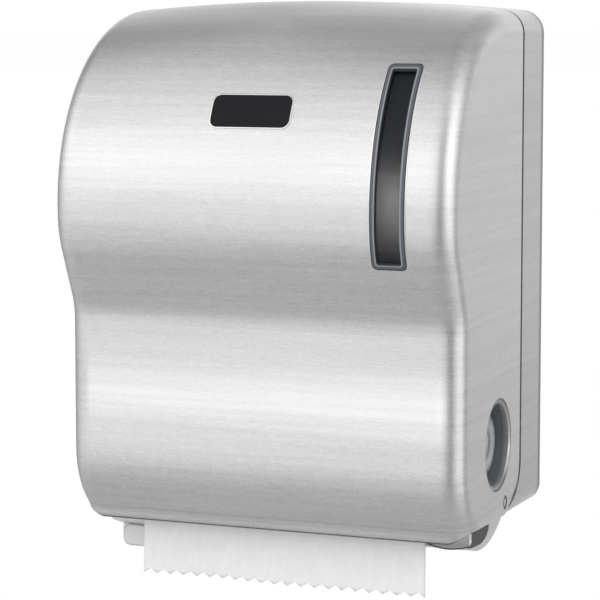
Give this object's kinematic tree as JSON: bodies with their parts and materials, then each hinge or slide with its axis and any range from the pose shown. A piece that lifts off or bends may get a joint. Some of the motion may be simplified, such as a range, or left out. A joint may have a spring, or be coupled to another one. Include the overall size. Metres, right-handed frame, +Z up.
{
  "type": "autocut towel dispenser",
  "caption": "Wall-mounted stainless autocut towel dispenser with a hinged cover, cutting drum, pinch roller, roll arms and lock.",
  "frame": {"origin": "middle of the four wall screw holes, on the wall plane", "axes": "+X to the viewer's right, +Z up, front of the dispenser towards -Y, +Y into the wall"},
  "size_m": [0.29, 0.2309, 0.408],
  "materials": {
    "stainless": "brushed",
    "bright_steel": "polished",
    "zinc_steel": "zinc plated",
    "dark_plastic": "fine moulded",
    "grey_plastic": "fine moulded",
    "white_plastic": "glossy",
    "smoked_pane": "smoked, glossy",
    "rubber": "matt",
    "brass": "satin",
    "paper": "soft tissue",
    "board": "plain",
    "spring_steel": "drawn wire"
  },
  "bodies": {
    "root": {"rear_housing": "stainless", "seam_rim": "dark_plastic", "hinge_ears": "zinc_steel", "hinge_pins": "bright_steel", "left_side_plate": "grey_plastic", "right_side_plate": "grey_plastic", "mechanism_screws": "bright_steel", "drum_bushes": "white_plastic", "clutch_bearing": "bright_steel", "cam_track": "white_plastic", "wheel_guard": "dark_plastic", "spring_post": "zinc_steel", "crank_spring": "spring_steel", "spring_hooks": "zinc_steel", "pinch_springs": "spring_steel", "rear_guide": "grey_plastic", "front_guide": "grey_plastic", "chin_guide": "grey_plastic", "arm_brackets": "zinc_steel", "arm_pins": "bright_steel", "lock_keeper": "zinc_steel", "towel_web": "paper"},
    "cover": {"front_cover": "stainless", "window_frame": "dark_plastic", "window_pane": "smoked_pane", "hinge_bushes": "dark_plastic", "lock_barrel": "bright_steel"},
    "lock": {"lock_plug": "brass", "lock_cam": "zinc_steel"},
    "drum": {"drum_front_half": "grey_plastic", "drum_rear_half": "grey_plastic", "grip_rings": "rubber", "drum_shaft": "bright_steel", "crank_arm": "zinc_steel", "hand_wheel": "white_plastic"},
    "knife": {"knife_carrier": "zinc_steel", "knife_blade": "bright_steel", "cam_follower": "white_plastic"},
    "yoke": {"left_yoke_arm": "grey_plastic", "right_yoke_arm": "grey_plastic", "yoke_shaft": "bright_steel"},
    "pinch_roller": {"pinch_shaft": "bright_steel", "pinch_sleeve": "rubber"},
    "left_arm": {"left_roll_arm": "dark_plastic"},
    "right_arm": {"right_roll_arm": "dark_plastic"},
    "left_hub": {"left_core_hub": "white_plastic"},
    "right_hub": {"right_core_hub": "white_plastic"},
    "roll": {"towel_roll": "paper", "roll_core": "board"}
  },
  "joints": [
    {"name": "cover_hinge", "type": "hinge", "parent": "root", "child": "cover", "pos_m": [0, -0.095, -0.2195], "axis": [1, 0, 0], "range_deg": [0, 40]},
    {"name": "lock_turn", "type": "hinge", "parent": "cover", "child": "lock", "pos_m": [0, -0.072, 0.12], "axis": [0, 0, -1], "range_deg": [0, 90]},
    {"name": "drum_spin", "type": "hinge", "parent": "root", "child": "drum", "pos_m": [0, -0.114, -0.175], "axis": [1, 0, 0], "continuous": true, "deforming": ["crank_spring"]},
    {"name": "knife_swing", "type": "hinge", "parent": "drum", "child": "knife", "pos_m": [0, -0.084, -0.193], "axis": [1, 0, 0], "range_deg": [-30, 0]},
    {"name": "nip_release", "type": "hinge", "parent": "root", "child": "yoke", "pos_m": [0, -0.184, -0.187], "axis": [1, 0, 0], "range_deg": [0, 6], "stiffness_Nm_per_rad": 12, "springref_deg": -5.73, "deforming": ["pinch_springs"]},
    {"name": "pinch_spin", "type": "hinge", "parent": "yoke", "child": "pinch_roller", "pos_m": [0, -0.15613, -0.13965], "axis": [1, 0, 0], "continuous": true},
    {"name": "roll_spin", "type": "hinge", "parent": "root", "child": "roll", "pos_m": [0, -0.12, 0.013], "axis": [1, 0, 0], "continuous": true},
    {"name": "left_arm_flex", "type": "hinge", "parent": "root", "child": "left_arm", "pos_m": [-0.116, -0.008, 0.013], "axis": [0, 0, -1], "range_deg": [0, 10], "stiffness_Nm_per_rad": 8, "springref_deg": -2.86},
    {"name": "right_arm_flex", "type": "hinge", "parent": "root", "child": "right_arm", "pos_m": [0.116, -0.008, 0.013], "axis": [0, 0, 1], "range_deg": [0, 10], "stiffness_Nm_per_rad": 8, "springref_deg": -2.86},
    {"name": "left_hub_spin", "type": "hinge", "parent": "left_arm", "child": "left_hub", "pos_m": [-0.105, -0.12, 0.013], "axis": [1, 0, 0], "continuous": true},
    {"name": "right_hub_spin", "type": "hinge", "parent": "right_arm", "child": "right_hub", "pos_m": [0.105, -0.12, 0.013], "axis": [1, 0, 0], "continuous": true}
  ],
  "couplings": [
    {"joint": "pinch_spin", "follows": "drum_spin", "ratio": -5},
    {"joint": "roll_spin", "follows": "drum_spin", "ratio": -0.5114},
    {"joint": "left_hub_spin", "follows": "drum_spin", "ratio": -0.5114},
    {"joint": "right_hub_spin", "follows": "drum_spin", "ratio": -0.5114}
  ]
}
